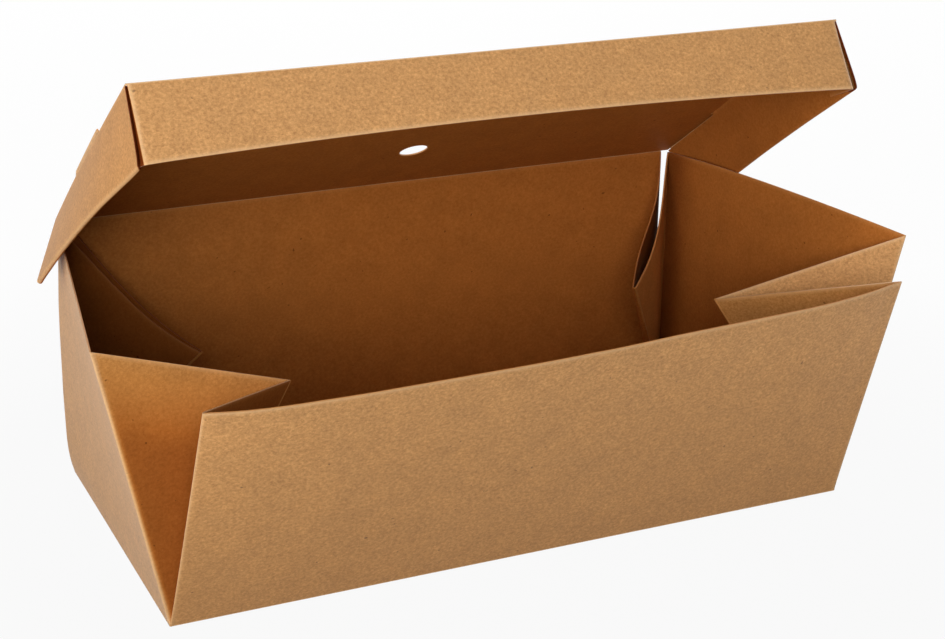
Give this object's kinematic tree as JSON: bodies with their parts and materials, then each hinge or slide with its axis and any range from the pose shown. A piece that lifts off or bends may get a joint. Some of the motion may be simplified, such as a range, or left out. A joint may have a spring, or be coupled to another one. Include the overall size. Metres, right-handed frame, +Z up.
{
  "type": "takeaway food box",
  "caption": "Folded kraft board takeaway box with webbed corners, flared walls and a hinged cap lid that has a round steam vent.",
  "frame": {"origin": "middle of the base's underside, on the surface the box stands on", "axes": "+X along the box's length to the right end, -Y to the open front, +Z up"},
  "size_m": [0.2426, 0.1388, 0.1399],
  "materials": {
    "kraft_board": "matte natural brown kraft board, unprinted"
  },
  "bodies": {
    "tray": {"tray": "kraft_board"},
    "lid": {"lid": "kraft_board"}
  },
  "joints": [
    {"name": "lid_hinge", "type": "hinge", "parent": "tray", "child": "lid", "pos_m": [0, 0.05111, 0.07991], "axis": [-1, 0, 0], "range_deg": [-3, 145]}
  ]
}
